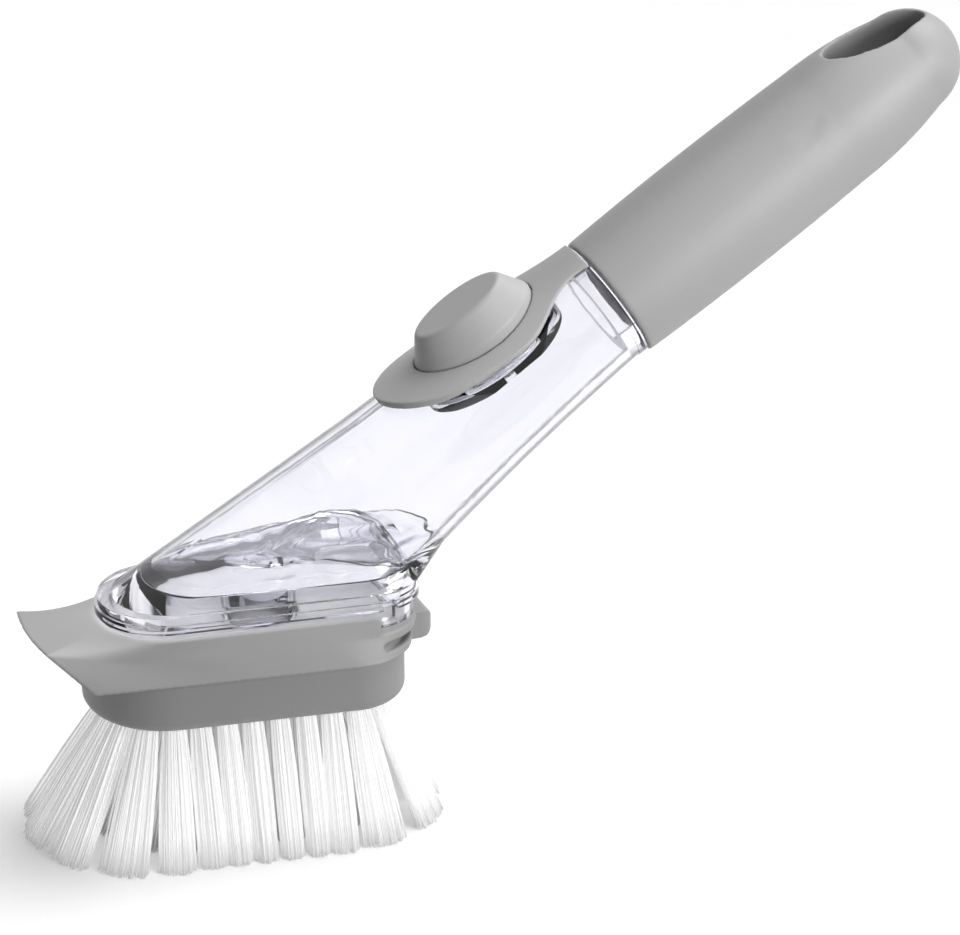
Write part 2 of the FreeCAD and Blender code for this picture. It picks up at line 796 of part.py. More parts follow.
heel_blend = Vector(size("nose_blend_x"), -size("nose_blend_half"), collar_bottom)
bottom_wall = wall_points("head", size("collar_lip"), collar_bottom, size("wall_start_x"))
shelf_turn = math.radians(size("shelf_corner_turn"))
shelf_radius = size("dish_front_radius + collar_top_lip")
shelf_x = size("dish_front_x") - shelf_radius * math.cos(shelf_turn)
top_corner = Vector(shelf_x, -shelf_radius * math.sin(shelf_turn), collar_top)
top_wall = wall_points("dish", size("collar_top_lip"), collar_top, shelf_x + size("shelf_corner_gap"))
shelf_bow = shelf_radius * (1 - math.cos(shelf_turn))
rim_share = size("rim_side_z - block_top_z - seat_gap") / size("collar_top_z - block_top_z - seat_gap")
rim_side = [
    Vector(size("rim_front_x"), -size("rim_front_half"), size("rim_front_z")),
    Vector(size("rim_side_x"), -size("rim_side_half"), size("rim_side_z")),
]
NOSE_STEPS = len(rim_side)
for low, high in list(zip(bottom_wall, top_wall))[NOSE_STEPS:]:
    rim_side.append(low + (high - low) * rim_share)
collar = Part.makeLoft(
    [
        ring_wire(heel, [heel_blend] + bottom_wall, nose_bow),
        ring_wire(edge_tip, rim_side, nose_bow),
        ring_wire(top_corner, top_wall, shelf_bow),
    ],
    True,
    True,
)
sill = size("window_sill_z")
pocket = egg_block("dish", size("slide_gap - skirt_inset"), sill, collar_top)
recess = egg_block("head", size("slide_gap - boss_inset"), collar_bottom, size("web_bottom_z"))
spout_pass = upright(spout_x, 0, size("spout_radius + slide_gap"), collar_bottom, collar_top)
REACH = 4 * size("head_front_radius")
window_x = size("window_start_x")
window = Part.makeBox(REACH, 2 * REACH, REACH, Vector(window_x, -REACH, sill))
slot_bottom = size("slot_bottom_z")
slot_top = size("slot_bottom_z + slot_height")
slot = egg_block("head", size("collar_lip + slot_depth * 2"), slot_bottom, slot_top)
slot = slot.cut(egg_block("head", size("collar_lip - slot_depth"), slot_bottom, slot_top))
slot = slot.cut(Part.makeBox(REACH, 2 * REACH, REACH, Vector(window_x - REACH, -REACH, 0)))
slot = slot.cut(Part.makeBox(REACH, 2 * size("head_rear_y"), REACH, Vector(0, -size("head_rear_y"), 0)))

# Thumb latch: a lever on two stub pins in a notch of the collar's back, with a catch and a tab

latch_front = size("head_rear_x + head_rear_radius + slide_gap")
latch_half = size("latch_half_width")
pivot_x = latch_front + size("latch_plate") / 2
pivot_z = size("latch_pivot_z")
notch_half = latch_half + size("slide_gap")
notch = Part.makeBox(
    REACH, 2 * notch_half, REACH, Vector(latch_front - 2 * size("slide_gap"), -notch_half, 0)
)
pin_half = latch_half + size("latch_pin_reach")
pin_hole = Part.makeCylinder(
    size("latch_pin_radius + pin_gap"),
    2 * (pin_half + size("slide_gap")),
    Vector(pivot_x, -pin_half - size("slide_gap"), pivot_z),
    ACROSS,
)
for hollow in (pocket, recess, spout_pass, window, slot, notch, pin_hole):
    collar = collar.cut(hollow)
add_feature("scraper_collar", collar)

latch_top = sill - size("slide_gap")
latch_bottom = size("latch_bottom_z")
latch_corner = Vector(latch_front, -latch_half, latch_bottom)
lever = Part.makeBox(size("latch_plate"), 2 * latch_half, latch_top - latch_bottom, latch_corner)
tab = Part.makeBox(
    size("latch_plate + latch_tab_reach"), 2 * latch_half, size("latch_tab_height"), latch_corner
)
tab_end = latch_front + size("latch_plate + latch_tab_reach")
tab_edges = [edge for edge in tab.Edges if edge.BoundBox.XMin > tab_end - size("seat_gap")]
tab = tab.makeFillet(size("latch_tab_round"), tab_edges)
catch = Part.makeBox(
    size("latch_catch_reach + slide_gap"), 2 * size("latch_catch_half"), size("latch_catch_height"),
    Vector(latch_front - size("latch_catch_reach"), -size("latch_catch_half"), size("latch_catch_z")),
)
pins = Part.makeCylinder(size("latch_pin_radius"), 2 * pin_half, Vector(pivot_x, -pin_half, pivot_z), ACROSS)
add_feature("release_latch", lever.fuse(tab).fuse(catch).fuse(pins).removeSplitter())

# Brush block: rounded egg block with a locating boss, soap hole and slanted tuft holes

block_bottom = size("block_bottom_z")
block_top = size("block_top_z")
block = egg_block("head", 0, block_bottom, block_top)
low_edges = [edge for edge in block.Edges if edge.BoundBox.ZMax < size("block_bottom_z + seat_gap")]
block = block.makeFillet(size("block_edge_round"), low_edges)
block = block.fuse(egg_block("head", -size("boss_inset"), block_top, block_top + size("boss_height")))
soap_hole = upright(spout_x, 0, size("soap_hole_radius"), block_bottom, block_top + size("boss_height"))
catch_half = size("latch_catch_half + slide_gap")
catch_front = latch_front - size("latch_catch_reach + slide_gap")
catch_groove = Part.makeBox(
    REACH, 2 * catch_half, REACH,
    Vector(catch_front, -catch_half, size("latch_catch_z - slide_gap")),
)
block = block.cut(soap_hole).cut(catch_groove)

RING_SCALES = {"outer_tufts": 1.0, "middle_tufts": 0.68, "inner_tufts": 0.36}
root_path = egg("head", -size("tuft_edge"), block_bottom)
middle_x = size("head_front_x - head_front_radius + head_rear_x + head_rear_radius") / 2
tuft_holes = []
tuft_groups = {}
anchors = []
below = Part.makeBox(2 * REACH, 2 * REACH, REACH, Vector(-REACH, -REACH, -REACH))


def add_tuft(ring, root, tip):
    """One tuft from its root in the block's face to the floor, with its hole and its anchor."""
    axis = (tip - root).normalize()
    hole_end = root - axis * size("tuft_hole_depth")
    mouth = root + axis * size("tuft_stem")
    tuft_holes.append(Part.makeCylinder(size("tuft_hole_radius"), (mouth - hole_end).Length, hole_end, axis))
    bed = hole_end + axis * size("anchor_width + seat_gap * 2")
    stem = Part.makeCylinder(size("tuft_root_radius"), (mouth - bed).Length, bed, axis)
    reach = (tip - mouth).Length + size("tuft_trim")
    brush = Part.makeCone(size("tuft_root_radius"), size("tuft_tip_radius"), reach, mouth, axis)
    tuft_groups[ring].append(stem.fuse(brush).removeSplitter().cut(below))
    anchor = Part.makeBox(
        size("anchor_length"), size("anchor_thickness"), size("anchor_width"),
        Vector(-size("anchor_length") / 2, -size("anchor_thickness") / 2, size("seat_gap")),
    )
    anchor.Placement = FreeCAD.Placement(hole_end, FreeCAD.Rotation(Vector(0, 0, 1), axis))
    anchors.append(anchor)


for ring, scale in RING_SCALES.items():
    count = round(root_path.Length * scale / size("tuft_pitch"))
    half_pitches = root_path.discretize(Number=2 * count + 1)
    roots = half_pitches[1::2] if ring == "inner_tufts" else half_pitches[:-1:2]
    tuft_groups[ring] = []
    for number, point in enumerate(roots):
        before = roots[number - 1]
        after = roots[(number + 1) % count]
        normal = Vector(before.y - after.y, after.x - before.x, 0).normalize() * -1
        lean = size("tuft_front_splay") if normal.x < 0 else size("tuft_rear_tuck")
        splay = (size("tuft_splay") - lean * normal.x) * scale
        root = Vector(middle_x + (point.x - middle_x) * scale, point.y * scale, block_bottom)
        add_tuft(ring, root, Vector(root.x + normal.x * splay, root.y + normal.y * splay, 0))
centre_root = Vector(size("centre_tuft_x"), 0, block_bottom)
add_tuft("inner_tufts", centre_root, Vector(size("centre_tuft_x + centre_tuft_lean"), 0, 0))
block = block.cut(Part.makeCompound(tuft_holes))
add_feature("bristle_block", block)
for ring, tufts in tuft_groups.items():
    add_feature(ring, Part.makeCompound(tufts))
add_feature("tuft_anchors", Part.makeCompound(anchors))

doc.recompute()

NODES = [
    "handle_grip", "handle_core", "neck_seal", "reservoir_body", "base_plate", "outlet_valve",
    "valve_retainer", "pump_diaphragm", "diaphragm_ring", "dispense_button", "button_bezel",
    "scraper_collar", "release_latch", "bristle_block", "outer_tufts", "middle_tufts", "inner_tufts",
    "tuft_anchors",
]
for item in doc.Objects:
    if "Invalid" in item.State or "Error" in item.State:
        raise RuntimeError(f"{item.Label} did not build: {item.State}")
os.makedirs("parts", exist_ok=True)
for node in NODES:
    item = doc.getObjectsByLabel(node)[0]
    shape = item.Shape
    if shape.isNull() or not shape.isValid():
        raise RuntimeError(f"{node} has no valid shape")
    shape.exportStep(f"parts/{node}.step")
    print(node, len(shape.Solids), round(shape.Volume), shape.BoundBox)
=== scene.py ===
# %% [markdown]
# # A soap-dispensing dish wand
# The wand stands on its bristles: a grey grip, a clear soap reservoir with a press button,
# a grey scraper collar and a brush head with white nylon tufts.
# The solids of the CAD model come in as a fixed frame. This lesson gives each of them a finish, softens
# the moulded edges, and grows real filaments where the solids only have cones.

# %% Load the frame
import bpy
import math
import random
from mathutils import Matrix, Vector, noise
from mathutils.bvhtree import BVHTree


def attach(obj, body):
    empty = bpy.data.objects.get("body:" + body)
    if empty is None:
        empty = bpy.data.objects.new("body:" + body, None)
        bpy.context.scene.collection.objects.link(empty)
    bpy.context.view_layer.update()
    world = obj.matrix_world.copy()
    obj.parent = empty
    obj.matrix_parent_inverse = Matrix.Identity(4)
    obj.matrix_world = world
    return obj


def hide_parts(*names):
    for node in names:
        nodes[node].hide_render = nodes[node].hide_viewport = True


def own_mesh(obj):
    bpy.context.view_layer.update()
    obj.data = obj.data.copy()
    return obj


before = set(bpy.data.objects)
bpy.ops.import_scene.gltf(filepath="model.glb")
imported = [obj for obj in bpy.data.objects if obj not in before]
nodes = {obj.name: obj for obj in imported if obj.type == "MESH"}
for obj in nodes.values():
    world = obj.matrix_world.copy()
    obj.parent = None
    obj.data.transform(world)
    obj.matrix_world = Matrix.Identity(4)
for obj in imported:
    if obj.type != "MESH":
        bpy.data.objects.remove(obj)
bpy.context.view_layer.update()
MM = 0.001

# %% [markdown]
# ## Camera
# The camera was fitted to the round collar ring, the straight handle and the level head: it looks
# down by about 24 degrees and stands a little to the nose side. A long lens keeps the perspective
# gentle, as a product photographer would, and a small shift puts the wand in the frame's corner.

# %% Place the camera
IMAGE_WIDTH = 960
azimuth, elevation, roll = (math.radians(angle) for angle in (-21.9, 24.1, -0.35))
backward = Vector((
    math.sin(azimuth) * math.cos(elevation),
    -math.cos(azimuth) * math.cos(elevation),
    math.sin(elevation),
))
level_right = Vector((math.cos(azimuth), math.sin(azimuth), 0))
level_up = backward.cross(level_right)
cam_right = level_right * math.cos(roll) + level_up * math.sin(roll)
cam_up = backward.cross(cam_right)
LOOK_AT = Vector((60, 0, 80)) * MM
CAMERA_DISTANCE = 1.0
PIXELS_PER_METRE = 4048
camera = bpy.data.objects.new("camera", bpy.data.cameras.new("camera"))
bpy.context.scene.collection.objects.link(camera)
placing = Matrix((cam_right, cam_up, backward)).transposed().to_4x4()
placing.translation = LOOK_AT + backward * CAMERA_DISTANCE
camera.matrix_world = placing
camera.data.sensor_width = 36
camera.data.lens = PIXELS_PER_METRE * CAMERA_DISTANCE / IMAGE_WIDTH * camera.data.sensor_width
camera.data.shift_x = 3.66 / IMAGE_WIDTH
camera.data.shift_y = -3.44 / IMAGE_WIDTH
bpy.context.scene.camera = camera
bpy.context.scene.view_settings.view_transform = "Standard"
print("lens:", round(camera.data.lens, 1), "mm")

# %% [markdown]
# ## Two small tools
# Colours are written as sRGB hex, the way a designer reads them off a sample, and turned to the
# linear values that the shaders work in. One function adds a node with its settings and its links.

# %% Colour and node tools
def linear(hex_code):
    """Linear RGBA of an sRGB hex colour."""
    channels = [int(hex_code[start:start + 2], 16) / 255 for start in (1, 3, 5)]
    return [c / 12.92 if c <= 0.04045 else ((c + 0.055) / 1.055) ** 2.4 for c in channels] + [1.0]


def add(tree, kind, inputs=None, **settings):
    """Add a node; an input is given a value, or an output socket to link from."""
    node = tree.nodes.new(kind)
    for name, value in settings.items():
        setattr(node, name, value)
    for name, value in (inputs or {}).items():
        if isinstance(value, bpy.types.NodeSocket):
            tree.links.new(value, node.inputs[name])
        else:
            node.inputs[name].default_value = value
    return node


def per_mm(millimetres):
    """The texture scale at which a pattern repeats every so many millimetres."""
    return 1 / (millimetres * MM)


print("mid grey:", [round(c, 3) for c in linear("#808080")])

# %% [markdown]
# ## Studio
# A white room with two lamps. The key lamp is a very soft sun, high up and a little behind the wand
# on the handle's side, which darkens the near walls and lays a soft shadow under the bristles. The
# spot stands at the near side and draws the pale band along the grip. The camera sees plain white.
# Clear plastic only shows where its edges bend the view towards something dark, so mirror and
# see-through rays find dark ends in the room, at the nose and beyond the handle, and pale grey
# stripes between them. Diffuse rays find one mid grey, so the room adds no tint and little light.

# %% World and lamps
world = bpy.data.worlds.new("white_room")
bpy.context.scene.world = world
world.use_nodes = True
tree = world.node_tree
tree.nodes.clear()
light_path = add(tree, "ShaderNodeLightPath")
direction = add(tree, "ShaderNodeTexCoord")
heading = add(tree, "ShaderNodeSeparateXYZ", {"Vector": direction.outputs["Generated"]})
along = add(tree, "ShaderNodeMapRange", {
    "Value": heading.outputs["X"], "From Min": -1.0, "From Max": 1.0,
})
walls = add(tree, "ShaderNodeValToRGB", {"Fac": along.outputs["Result"]})
ceiling = add(tree, "ShaderNodeValToRGB", {"Fac": heading.outputs["Z"]})
WALL_TONES = (
    (0.00, "#1E1E24"), (0.06, "#303038"), (0.10, "#E4E4EA"), (0.26, "#FFFFFF"),
    (0.38, "#D6D6DC"), (0.50, "#FFFFFF"), (0.62, "#D2D2D8"), (0.74, "#FFFFFF"),
    (0.89, "#E0E0E6"), (0.93, "#303038"), (1.00, "#1E1E24"),
)
CEILING_TONES = ((0.45, "#000000"), (0.70, "#FFFFFF"))
for node, tones in ((walls, WALL_TONES), (ceiling, CEILING_TONES)):
    ramp = node.color_ramp.elements
    while len(ramp) < len(tones):
        ramp.new(0.5)
    for element, (position, hex_code) in zip(ramp, tones):
        element.position = position
        element.color = linear(hex_code)
room_tone = add(tree, "ShaderNodeMix", {
    0: ceiling.outputs["Color"], 6: walls.outputs["Color"], 7: linear("#FFFFFF"),
}, data_type="RGBA")
AMBIENT = linear("#7C7C7C")
lit_tone = add(tree, "ShaderNodeMix", {
    0: light_path.outputs["Is Diffuse Ray"], 6: room_tone.outputs[2], 7: AMBIENT,
}, data_type="RGBA")
seen_tone = add(tree, "ShaderNodeMix", {
    0: light_path.outputs["Is Camera Ray"], 6: lit_tone.outputs[2], 7: linear("#FFFFFF"),
}, data_type="RGBA")
background = add(tree, "ShaderNodeBackground", {"Color": seen_tone.outputs[2], "Strength": 1.0})
add(tree, "ShaderNodeOutputWorld", {"Surface": background.outputs["Background"]})

LAMPS = {
    "key_lamp": ("SUN", Vector((0.36, 0.12, 0.92)), Vector((0, 0, 0)), {
        "energy": 2.7, "angle": math.radians(50),
    }),
    "handle_spot": ("SPOT", Vector((0.34, -0.46, 0.26)), Vector((0.120, 0, 0.138)), {
        "energy": 13.0, "shadow_soft_size": 0.15, "spot_size": math.radians(46), "spot_blend": 0.9,
    }),
}
for name, (kind, place, aim, settings) in LAMPS.items():
    light = bpy.data.lights.new(name, kind)
    for setting, value in settings.items():
        setattr(light, setting, value)
    holder = bpy.data.objects.new(name, light)
    holder.location = place
    holder.rotation_euler = (place - aim).to_track_quat("Z", "Y").to_euler()
    bpy.context.scene.collection.objects.link(holder)
print("lamps:", list(LAMPS))

# %% [markdown]
# The floor is a roll of white paper that takes the wand's soft shadow. For the camera, and for
# mirror and see-through rays, it has a small glow, so that it meets the white of the room. For
# diffuse rays it is grey and has none: it throws back less light than white paper would, and the
# undersides keep some depth.

# %% Floor
FLOOR_HALF = 4.0
floor_mesh = bpy.data.meshes.new("floor")
corners = [(x * FLOOR_HALF, y * FLOOR_HALF, 0) for x, y in ((-1, -1), (1, -1), (1, 1), (-1, 1))]
floor_mesh.from_pydata(corners, [], [(0, 1, 2, 3)])
floor = bpy.data.objects.new("floor", floor_mesh)
bpy.context.scene.collection.objects.link(floor)
paper = bpy.data.materials.new("white_paper")
paper.use_nodes = True
tree = paper.node_tree
tree.nodes.clear()
light_path = add(tree, "ShaderNodeLightPath")
paper_tone = add(tree, "ShaderNodeMix", {
    0: light_path.outputs["Is Diffuse Ray"], 6: linear("#EDEDED"), 7: linear("#A4A4A4"),
}, data_type="RGBA")
paper_glow = add(tree, "ShaderNodeMapRange", {
    "Value": light_path.outputs["Is Diffuse Ray"], "To Min": 0.15, "To Max": 0.0,
})
paper_surface = add(tree, "ShaderNodeBsdfPrincipled", {
    "Base Color": paper_tone.outputs[2], "Roughness": 0.9, "Specular IOR Level": 0.0,
    "Emission Color": linear("#FFFFFF"), "Emission Strength": paper_glow.outputs["Result"],
})
add(tree, "ShaderNodeOutputMaterial", {"Surface": paper_surface.outputs["BSDF"]})
floor_mesh.materials.append(paper)
print("floor:", 2 * FLOOR_HALF, "m")

# %% [markdown]
# ## Grey plastics
# The grip is a thermoplastic rubber (TPR) moulded over a hard liner: matt, with a wide highlight.
# Collar, button, bezel, latch and block are polypropylene (PP) from spark-eroded moulds, which
# leave a very fine satin grain. Real grain is about 0.1 mm; it is drawn near 0.5 mm so that it
# shows at all in the picture. A slow change of tone keeps large faces from looking painted.
# The collar, latch and block are a touch deeper than the button and its bezel. Narrow places get
# painted shade: an ambient occlusion node darkens their colour, most of all in the grip's hang hole.

# %% Grey plastic materials
CLOUD_MM = 38
PAINTED_SHADE_REACH_MM = 12


def satin_grey(name, tones, roughness, grain_mm, grain_depth, painted_shade_floor):
    """A moulded matt plastic: two close tones, a fine grain and painted shade in crevices."""
    material = bpy.data.materials.new(name)
    material.use_nodes = True
    tree = material.node_tree
    tree.nodes.clear()
    place = add(tree, "ShaderNodeTexCoord").outputs["Object"]
    cloud = add(tree, "ShaderNodeTexNoise", {
        "Vector": place, "Scale": per_mm(CLOUD_MM), "Detail": 2.0,
    })
    tone = add(tree, "ShaderNodeValToRGB", {"Fac": cloud.outputs["Fac"]})
    for element, hex_code, position in zip(tone.color_ramp.elements, tones, (0.3, 0.7)):
        element.color = linear(hex_code)
        element.position = position
    grain = add(tree, "ShaderNodeTexNoise", {
        "Vector": place, "Scale": per_mm(grain_mm), "Detail": 3.0,
    })
    gloss = add(tree, "ShaderNodeMapRange", {
        "Value": grain.outputs["Fac"], "To Min": roughness - 0.05, "To Max": roughness + 0.07,
    })
    bump = add(tree, "ShaderNodeBump", {
        "Height": grain.outputs["Fac"], "Strength": 0.1, "Distance": grain_depth * MM,
    })
    # Painted shade: an ambient occlusion node darkens the colour where nearby surfaces close in.
    openness = add(tree, "ShaderNodeAmbientOcclusion", {
        "Distance": PAINTED_SHADE_REACH_MM * MM,
    }, samples=8, only_local=True)
    painted_crevice_shade = add(tree, "ShaderNodeMapRange", {
        "Value": openness.outputs["AO"], "From Min": 0.25, "From Max": 0.9,
        "To Min": painted_shade_floor, "To Max": 1.0,
    })
    shaded = add(tree, "ShaderNodeVectorMath", {
        0: tone.outputs["Color"], "Scale": painted_crevice_shade.outputs["Result"],
    }, operation="SCALE")
    surface = add(tree, "ShaderNodeBsdfPrincipled", {
        "Base Color": shaded.outputs["Vector"], "Roughness": gloss.outputs["Result"],
        "Normal": bump.outputs["Normal"], "IOR": 1.49,
    })
    add(tree, "ShaderNodeOutputMaterial", {"Surface": surface.outputs["BSDF"]})
    return material


tpr_grip = satin_grey("soft_touch_tpr", ("#9C9C9C", "#9F9F9F"), 0.5, 0.55, 0.05, 0.12)
pp_grey = satin_grey("moulded_pp_grey", ("#A3A3A3", "#A6A6A6"), 0.46, 0.5, 0.04, 0.6)
pp_deep = satin_grey("moulded_pp_deep_grey", ("#9A9A9A", "#9E9E9E"), 0.48, 0.5, 0.04, 0.6)
pp_liner = satin_grey("moulded_pp_liner", ("#8E8E8E", "#949494"), 0.5, 0.7, 0.05, 0.6)
print("greys:", tpr_grip.name, pp_grey.name, pp_deep.name, pp_liner.name)

# %% [markdown]
# ## Clear plastic, soap and silicone
# The reservoir is styrene acrylonitrile (SAN), polished in the mould: water clear, with the
# faintest violet cast. SAN has a refraction index near 1.57; this lesson uses 1.49. The rim is
# painted dark: the colour turns darker towards grazing angles, painted shade that stands in for
# the light that grazes a thick wall and is bent away.
# The floor plate and the valve's ring are the same plastic, drawn as if wetted by soap on every
# side. What counts then is the ratio of the two indices, about 1.1, and the plate hardly bends
# the view. With 1.49 a dark strip ran along the foot that the real wand does not show.

# %% Clear materials
def clear_plastic(name, body_hex, painted_rim_hex, painted_edge_hex, ior, roughness, painted_edge_start):
    """A transparent moulding whose colour is painted darker where the wall is seen edge on: painted
    shade.
    """
    material = bpy.data.materials.new(name)
    material.use_nodes = True
    tree = material.node_tree
    tree.nodes.clear()
    facing = add(tree, "ShaderNodeLayerWeight", {"Blend": 0.5})
    painted_rim_tint = add(tree, "ShaderNodeValToRGB", {"Fac": facing.outputs["Facing"]})
    painted_rim_tint.color_ramp.elements.new(0.5)
    stops = ((painted_edge_start, body_hex), (painted_edge_start + 0.12, painted_rim_hex), (1.0, painted_edge_hex))
    for element, (position, hex_code) in zip(painted_rim_tint.color_ramp.elements, stops):
        element.position = position
        element.color = linear(hex_code)
    surface = add(tree, "ShaderNodeBsdfPrincipled", {
        "Base Color": painted_rim_tint.outputs["Color"], "Roughness": roughness, "IOR": ior,
        "Transmission Weight": 1.0,
    })
    add(tree, "ShaderNodeOutputMaterial", {"Surface": surface.outputs["BSDF"]})
    return material


# Painted shade: each clear material's colour darkens towards grazing angles to draw the dark rims.
san_clear = clear_plastic("polished_san_clear", "#F6F6FA", "#4C4C58", "#26262E", 1.49, 0.01, 0.60)
wet_clear = clear_plastic("wetted_san_clear", "#F6F6FA", "#9A9AA6", "#787884", 1.1, 0.01, 0.60)
soap_clear = clear_plastic("clear_dish_soap", "#FBFBFE", "#A0A0AE", "#6C6C7A", 1.36, 0.0, 0.62)
print("clears:", san_clear.name, wet_clear.name, soap_clear.name)

# %% [markdown]
# Silicone is cloudy rather than clear: light goes in, spreads and comes out soft. A half
# transmitting, rough shader gives that milky look for the valve, the pump dome and the seal.
# White nylon filament is smooth and lets light through from one filament to the next in a tuft.
# Without that light the tufts shade each other grey, so a weak painted glow stands in for it. It is
# weaker on the inner rows, which lie in the outer row's shade, and their white is painted a touch
# greyer as painted shade. Real nylon does not glow.

# %% Silicone, nylon and wire
def plain_shader(name, tones, pattern_mm, inputs):
    """A material of two close tones in a fine pattern, with the shader's own settings."""
    material = bpy.data.materials.new(name)
    material.use_nodes = True
    tree = material.node_tree
    tree.nodes.clear()
    place = add(tree, "ShaderNodeTexCoord").outputs["Object"]
    pattern = add(tree, "ShaderNodeTexNoise", {
        "Vector": place, "Scale": per_mm(pattern_mm), "Detail": 2.0,
    })
    tone = add(tree, "ShaderNodeValToRGB", {"Fac": pattern.outputs["Fac"]})
    for element, hex_code, position in zip(tone.color_ramp.elements, tones, (0.3, 0.7)):
        element.color = linear(hex_code)
        element.position = position
    surface = add(tree, "ShaderNodeBsdfPrincipled", {"Base Color": tone.outputs["Color"], **inputs})
    add(tree, "ShaderNodeOutputMaterial", {"Surface": surface.outputs["BSDF"]})
    return material


silicone = plain_shader("milky_silicone", ("#E4E4E8", "#EEEEF2"), 3.0, {
    "Roughness": 0.38, "IOR": 1.41, "Transmission Weight": 0.55,
})
# Painted light: the nylon glows a little, standing in for light passed between filaments.
nylon = plain_shader("white_nylon", ("#FAFAFA", "#FEFEFE"), 2.0, {
    "Roughness": 0.45, "IOR": 1.53, "Emission Color": linear("#FFFFFF"), "Emission Strength": 0.21,
})
# Painted shade: the inner rows get a greyer white and a weaker glow than the outer row.
shaded_nylon = plain_shader("white_nylon_painted_shade", ("#EEEEF0", "#F4F4F6"), 2.0, {
    "Roughness": 0.45, "IOR": 1.53, "Emission Color": linear("#FFFFFF"), "Emission Strength": 0.05,
})
wire = plain_shader("drawn_steel_wire", ("#B5B5B8", "#C2C2C6"), 0.6, {
    "Roughness": 0.3, "Metallic": 1.0,
})
print("soft and small:", silicone.name, nylon.name, shaded_nylon.name, wire.name)

# %% [markdown]
# ## Finishes on the CAD solids
# A solid whose shape is right keeps its mesh and only gets its finish. The clear pieces cast no
# shadow, because clear walls let most of the light by.

# %% Dress the solids
FINISHES = {
    san_clear: ["reservoir_body", "diaphragm_ring"],
    wet_clear: ["base_plate", "valve_retainer"],
    silicone: ["outlet_valve", "pump_diaphragm", "neck_seal"],
    pp_liner: ["handle_core"],
    pp_grey: ["dispense_button", "button_bezel"],
    pp_deep: ["scraper_collar", "release_latch", "bristle_block"],
    tpr_grip: ["handle_grip"],
    nylon: ["outer_tufts"],
    shaded_nylon: ["middle_tufts", "inner_tufts"],
    wire: ["tuft_anchors"],
}
for material, names in FINISHES.items():
    for name in names:
        nodes[name].data.materials.clear()
        nodes[name].data.materials.append(material)
for name in FINISHES[san_clear] + FINISHES[wet_clear]:
    nodes[name].visible_shadow = False
print("dressed:", sum(len(names) for names in FINISHES.values()))

# %% [markdown]
# ## Soft moulded edges
# A mould always leaves a small radius on an outer edge, and that thin line of light is what makes
# plastic look moulded. A bevel needs clean edges, and a CAD solid arrives as dense triangles, so
# the grey mouldings are wrapped in a fine even skin (a voxel remesh) and relaxed a little.

# %% Soften the grey mouldings
def softened(node, name, body, material, voxel_mm, passes):
    """A copy of a solid with evenly rounded edges that stands for it."""
    piece = bpy.data.objects.new(name, nodes[node].data.copy())
    bpy.context.scene.collection.objects.link(piece)
    wrap = piece.modifiers.new("skin", "REMESH")
    wrap.mode = "VOXEL"
    wrap.voxel_size = voxel_mm * MM
    relax = piece.modifiers.new("relax", "SMOOTH")
    relax.factor = 0.5
    relax.iterations = passes
    ready = piece.evaluated_get(bpy.context.evaluated_depsgraph_get())
    mesh = bpy.data.meshes.new_from_object(ready)
    piece.modifiers.clear()
    piece.data = mesh
    mesh.name = name
    mesh.materials.clear()
    mesh.materials.append(material)
    mesh.shade_smooth()
    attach(piece, body)
    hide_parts(node)
    print(name, len(mesh.polygons))


softened("handle_grip", "grip_moulding", "handle", tpr_grip, 0.4, 26)
softened("scraper_collar", "collar_moulding", "reservoir", pp_deep, 0.35, 6)
softened("button_bezel", "bezel_moulding", "reservoir", pp_grey, 0.3, 5)
softened("dispense_button", "button_moulding", "button", pp_grey, 0.3, 5)
softened("bristle_block", "block_moulding", "head", pp_deep, 0.4, 6)
softened("release_latch", "latch_moulding", "latch", pp_deep, 0.25, 5)

# %% [markdown]
# ## Pump dome
# The silicone dome under the button gives way when the button is pushed; it is clamped by its rim.
# In use it flattens towards the rim, to less than half its height at the end of the button's travel.
# Here it only gets a mesh of its own, hung on the reservoir in place of the solid, at rest.

# %% Give the pump dome a mesh of its own
dome = bpy.data.objects.new("pump_dome", nodes["pump_diaphragm"].data.copy())
bpy.context.scene.collection.objects.link(dome)
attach(dome, "reservoir")
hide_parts("pump_diaphragm")
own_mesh(dome)

# %% [markdown]
# ## Bristles
# Each tuft is a bundle of nylon filaments folded over an anchor. They leave the hole tightly
# packed and flare towards the cut ends. The cones of the solid give each tuft's axis. Along its
# row a tuft spreads until it almost meets its neighbours, and the gaps close towards the floor.
# The filaments are slightly bowed, and cut flat at the floor with a little raggedness.

# %% Find the tufts
def islands(mesh):
    """The separate bundles of a mesh, each as a list of its points."""
    parent = list(range(len(mesh.vertices)))

    def root(index):
        while parent[index] != index:
            parent[index] = parent[parent[index]]
            index = parent[index]
        return index

    places = {}
    for vertex in mesh.vertices:
        key = tuple(round(c, 6) for c in vertex.co)
        first = places.setdefault(key, vertex.index)
        parent[root(vertex.index)] = root(first)
    for edge in mesh.edges:
        first, second = edge.vertices
        parent[root(first)] = root(second)
    groups = {}
    for vertex in mesh.vertices:
        groups.setdefault(root(vertex.index), []).append(vertex.co.copy())
    return list(groups.values())


FOOT_BAND = 0.2 * MM
HEAD_BAND = 2.5 * MM


def tuft_axis(points):
    """The middle of a tuft's top and of its cut end."""
    low = min(p.z for p in points)
    high = max(p.z for p in points)
    foot = [p for p in points if p.z < low + FOOT_BAND]
    head = [p for p in points if p.z > high - HEAD_BAND]
    return sum(head, Vector()) / len(head), sum(foot, Vector()) / len(foot)


tuft_axes = {ring: [tuft_axis(p) for p in islands(nodes[ring].data)]
             for ring in ("outer_tufts", "middle_tufts", "inner_tufts")}
print({ring: len(axes) for ring, axes in tuft_axes.items()})

# %% Grow the filaments
FILAMENTS = 110
FILAMENT_RADIUS = 0.22 * MM
ROOT_RADIUS = 1.8 * MM
TIP_REACH = 3.0 * MM
TIP_FAN = 0.47
RAGGED_MM = 0.6
BOW_LEAST_MM, BOW_MOST_MM = 0.1, 0.7
SIDES, STEPS = 4, 5


